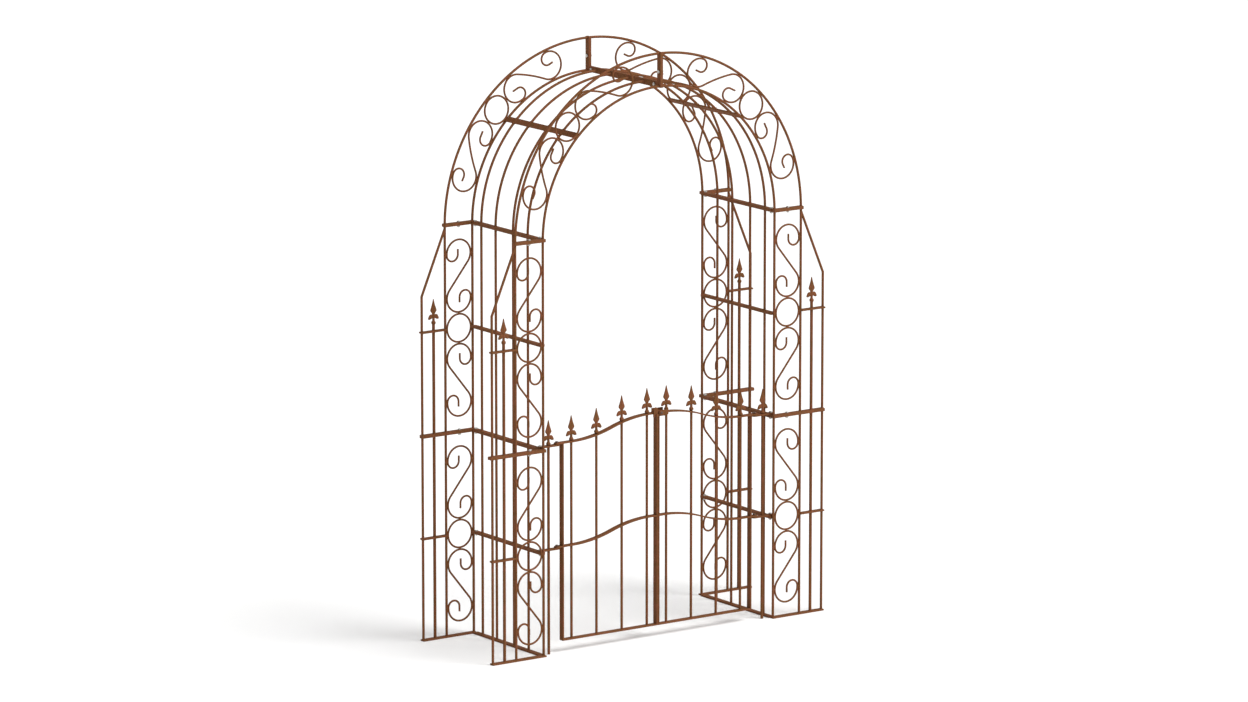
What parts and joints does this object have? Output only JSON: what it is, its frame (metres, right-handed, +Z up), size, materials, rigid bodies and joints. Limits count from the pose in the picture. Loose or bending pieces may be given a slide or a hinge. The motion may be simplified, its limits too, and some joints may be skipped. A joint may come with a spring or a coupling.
{
  "type": "garden trellis arch with double gate",
  "caption": "Welded steel garden arch with scrolled side panels, spear-topped wings, an open rod roof and a low double gate with a flip latch.",
  "frame": {"origin": "on the ground, under the middle of the arch", "axes": "+Z up; the gate is on the -Y side; X runs from the left leg (-X) to the right leg (+X), seen from the gate side"},
  "size_m": [1.734, 0.545, 2.5055],
  "materials": {
    "arch_steel": "antique brown powder coat, satin, slightly uneven",
    "gate_steel": "antique brown powder coat, satin",
    "scroll_wire": "antique brown powder coat over bent wire",
    "cast_spear": "antique brown powder coat over a sand casting",
    "zinc_fastener": "dull zinc plate",
    "dark_fastener": "brown painted hardware, worn on the edges"
  },
  "bodies": {
    "arch": {"hinge_pivot_bolts": "dark_fastener", "joint_bolts": "zinc_fastener", "left_back_arch_frame": "arch_steel", "left_back_arch_scrolls": "scroll_wire", "left_front_arch_frame": "arch_steel", "left_front_arch_scrolls": "scroll_wire", "left_hinge_post": "gate_steel", "left_lower_hinge_arm": "gate_steel", "left_roof_grille": "arch_steel", "left_upper_hinge_arm": "gate_steel", "lower_left_back_panel": "arch_steel", "lower_left_back_scrolls": "scroll_wire", "lower_left_front_panel": "arch_steel", "lower_left_front_scrolls": "scroll_wire", "lower_left_side_grille": "arch_steel", "lower_right_back_panel": "arch_steel", "lower_right_back_scrolls": "scroll_wire", "lower_right_front_panel": "arch_steel", "lower_right_front_scrolls": "scroll_wire", "lower_right_side_grille": "arch_steel", "nuts": "zinc_fastener", "post_spears": "cast_spear", "right_back_arch_frame": "arch_steel", "right_back_arch_scrolls": "scroll_wire", "right_front_arch_frame": "arch_steel", "right_front_arch_scrolls": "scroll_wire", "right_hinge_post": "gate_steel", "right_lower_hinge_arm": "gate_steel", "right_roof_grille": "arch_steel", "right_upper_hinge_arm": "gate_steel", "upper_left_back_panel": "arch_steel", "upper_left_back_scrolls": "scroll_wire", "upper_left_front_panel": "arch_steel", "upper_left_front_scrolls": "scroll_wire", "upper_left_side_grille": "arch_steel", "upper_right_back_panel": "arch_steel", "upper_right_back_scrolls": "scroll_wire", "upper_right_front_panel": "arch_steel", "upper_right_front_scrolls": "scroll_wire", "upper_right_side_grille": "arch_steel", "wing_spears": "cast_spear"},
    "left_leaf": {"left_gate_bars": "gate_steel", "left_gate_bottom_rail": "gate_steel", "left_gate_hinge_stile": "gate_steel", "left_gate_meeting_stile": "gate_steel", "left_gate_middle_rail": "gate_steel", "left_gate_spears": "cast_spear", "left_gate_top_rail": "gate_steel", "latch_keeper": "gate_steel"},
    "right_leaf": {"right_gate_bars": "gate_steel", "right_gate_bottom_rail": "gate_steel", "right_gate_hinge_stile": "gate_steel", "right_gate_meeting_stile": "gate_steel", "right_gate_middle_rail": "gate_steel", "right_gate_spears": "cast_spear", "right_gate_top_rail": "gate_steel", "latch_bracket": "gate_steel", "latch_rivet": "dark_fastener"},
    "latch": {"latch_strap": "gate_steel"}
  },
  "joints": [
    {"name": "left_gate_hinge", "type": "hinge", "parent": "arch", "child": "left_leaf", "pos_m": [-0.512, -0.237, 0.5], "axis": [0, 0, 1], "range_deg": [-90, 90]},
    {"name": "right_gate_hinge", "type": "hinge", "parent": "arch", "child": "right_leaf", "pos_m": [0.512, -0.237, 0.5], "axis": [0, 0, 1], "range_deg": [-90, 90]},
    {"name": "latch_flip", "type": "hinge", "parent": "right_leaf", "child": "latch", "pos_m": [0.013, -0.2545, 0.9685], "axis": [0, -1, 0], "range_deg": [0, 180]}
  ]
}
